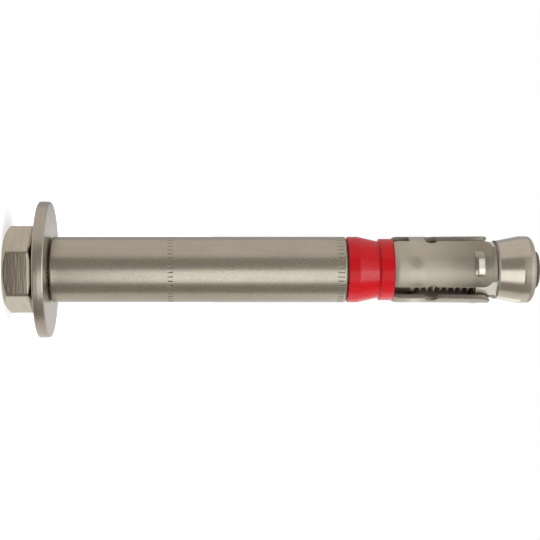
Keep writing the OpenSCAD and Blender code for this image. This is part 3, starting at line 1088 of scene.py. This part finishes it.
class ANCHOR_OT_turn_cone(bpy.types.Operator):
    """Make the cone nut"""

    bl_idname = "anchor.turn_cone"
    bl_label = "Turn Cone"

    def execute(self, context):
        s = context.scene.anchor.cone
        finishes = [
            turned_stainless(s.steel), milled_stainless_painted_reflection(s.milled),
            rough_stainless("parted_stainless", s.steel), rough_stainless("rough_turned_neck_painted_shade", s.rough)
        ]
        make_piece("turned_cone", "cone_nut", *cone_shape(s), finishes, cone_finish(s))
        return {"FINISHED"}


class ANCHOR_OT_set_stage(bpy.types.Operator):
    """Set the floor, the lamps, the cards, the white surroundings and the camera"""

    bl_idname = "anchor.set_stage"
    bl_label = "Set Stage"

    def execute(self, context):
        s = context.scene.anchor.stage
        scene = context.scene
        scene.view_settings.view_transform = "Standard"
        lay_floor(s)
        for name in ("strip", "key", "ridge", "low", "leaf", "end", "fill"):
            lamp = put_lamp(s, name)
            lamp.visible_glossy = name != "fill"
        grey = matt_board("grey_board", s.card)
        put_card(s, "upper_card", s.upper_arc, s.side_band, grey)
        put_card(s, "lower_card", s.lower_arc, s.side_band, grey)
        put_card(s, "head_card", s.head_arc, s.head_band, matt_board("brown_board", s.brown_card))
        put_card(s, "gap_card", s.head_arc, s.gap_band, matt_board("dark_board", s.gap_card))
        put_card(s, "back_card", s.back_arc, s.side_band, matt_board("pale_board", s.pale_card))
        world = bpy.data.worlds.new("white_studio")
        world.use_nodes = True
        background = world.node_tree.nodes["Background"]
        fill(world.node_tree, background, {"Color": (1, 1, 1, 1), "Strength": 1})
        scene.world = world
        put_camera(s)
        return {"FINISHED"}


# Stage

def panel_place(distance, angles, levels):
    """Place of an upright panel between two angles from the camera's direction, with its width and height."""
    start, end = angles
    low, high = levels
    middle = (start + end) / 2
    width = 2 * distance * math.tan((end - start) / 2)
    outwards = Vector((math.sin(middle), -math.cos(middle), 0))
    up = Vector((0, 0, 1))
    turn = Matrix((up.cross(outwards), up, outwards)).transposed().to_4x4()
    centre = outwards * distance + up * (low + high) / 2
    return Matrix.Translation(centre) @ turn, width, high - low


def flat_sheet(name, width, height, material):
    """A flat sheet about the origin."""
    mesh = bpy.data.meshes.new(name)
    corners = [(x * width / 2, y * height / 2, 0) for x, y in ((-1, -1), (1, -1), (1, 1), (-1, 1))]
    mesh.from_pydata(corners, [], [(0, 1, 2, 3)])
    mesh.materials.append(material)
    sheet = bpy.data.objects.new(name, mesh)
    bpy.context.scene.collection.objects.link(sheet)
    return sheet


def lay_floor(s, size=40):
    """Floor under the bolt's head. Only the camera sees it, so metal shows the white surroundings below."""
    floor = flat_sheet("floor", size, size, studio_floor(s.floor))
    floor.location.z = CAD_BOX[0].z
    floor.visible_diffuse = False
    floor.visible_glossy = False
    floor.visible_transmission = False
    floor.visible_shadow = False


def put_card(s, name, angles, levels, material):
    """Card that metal reflects, kept out of the picture."""
    matrix, width, height = panel_place(s.panel_distance, angles, levels)
    card = flat_sheet(name, width, height, material)
    card.matrix_world = matrix
    card.visible_camera = False


def put_lamp(s, name):
    """Soft flat lamp. It lets the white behind it through, so its level comes on top of that white."""
    distance = getattr(s, f"{name}_distance", s.panel_distance)
    matrix, width, height = panel_place(distance, getattr(s, f"{name}_arc"), getattr(s, f"{name}_band"))
    lamp = bpy.data.lights.new(f"{name}_lamp", "AREA")
    lamp.color = s.lamp
    lamp.shape = "RECTANGLE"
    lamp.size = width
    lamp.size_y = height
    lamp.energy = getattr(s, f"{name}_level") * LAMP_WATTS * width * height
    holder = bpy.data.objects.new(f"{name}_lamp", lamp)
    bpy.context.scene.collection.objects.link(holder)
    holder.matrix_world = matrix
    holder.visible_camera = False
    return holder


def put_camera(s):
    """Camera square to the bolt's axis, rolled so that the bolt's tip points to the right."""
    data = bpy.data.cameras.new("camera")
    data.sensor_width = 36
    data.lens = data.sensor_width * s.camera_distance / s.view_width
    data.shift_x = s.shift
    data.clip_start = 0.01
    data.clip_end = 100
    camera = bpy.data.objects.new("camera", data)
    bpy.context.scene.collection.objects.link(camera)
    right, up, back = Vector((0, 0, 1)), Vector((-1, 0, 0)), Vector((0, -1, 0))
    turn = Matrix((right, up, back)).transposed().to_4x4()
    place = Vector((s.camera_drop, -s.camera_distance, s.camera_height))
    camera.matrix_world = Matrix.Translation(place) @ turn
    bpy.context.scene.camera = camera


class ANCHOR_PT_sidebar(bpy.types.Panel):
    """Lists what can be set and made"""

    bl_idname = "ANCHOR_PT_sidebar"
    bl_label = "Expansion Anchor"
    bl_space_type = "VIEW_3D"
    bl_region_type = "UI"
    bl_category = "Anchor"

    def draw(self, context):
        for group, operator in STEPS:
            box = self.layout.box()
            settings = getattr(context.scene.anchor, group)
            for key in settings.__annotations__:
                box.prop(settings, key)
            box.operator(operator)


# Order in which the pieces are made, each with the settings that it takes
STEPS = (
    ("bolt", "anchor.forge_bolt"),
    ("washer", "anchor.stamp_washer"),
    ("tube", "anchor.draw_tube"),
    ("collar", "anchor.mould_collar"),
    ("strip", "anchor.roll_strip"),
    ("cone", "anchor.turn_cone"),
    ("stage", "anchor.set_stage"),
)

CLASSES = (
    BoltSettings, WasherSettings, TubeSettings, CollarSettings, StripSettings, ConeSettings, StageSettings,
    AnchorSettings, ANCHOR_OT_forge_bolt, ANCHOR_OT_stamp_washer, ANCHOR_OT_draw_tube, ANCHOR_OT_mould_collar,
    ANCHOR_OT_roll_strip, ANCHOR_OT_turn_cone, ANCHOR_OT_set_stage, ANCHOR_PT_sidebar
)


def register():
    """Registers the classes and hangs the settings on the scene."""
    for cls in CLASSES:
        bpy.utils.register_class(cls)
    bpy.types.Scene.anchor = PointerProperty(type=AnchorSettings)


def unregister():
    """Takes the settings and the classes away again."""
    del bpy.types.Scene.anchor
    for cls in reversed(CLASSES):
        bpy.utils.unregister_class(cls)


def main():
    """Makes every piece and the stage."""
    register()
    bpy.ops.anchor.forge_bolt()
    bpy.ops.anchor.stamp_washer()
    bpy.ops.anchor.draw_tube()
    bpy.ops.anchor.mould_collar()
    bpy.ops.anchor.roll_strip()
    bpy.ops.anchor.turn_cone()
    bpy.ops.anchor.set_stage()


if __name__ == "__main__":
    main()
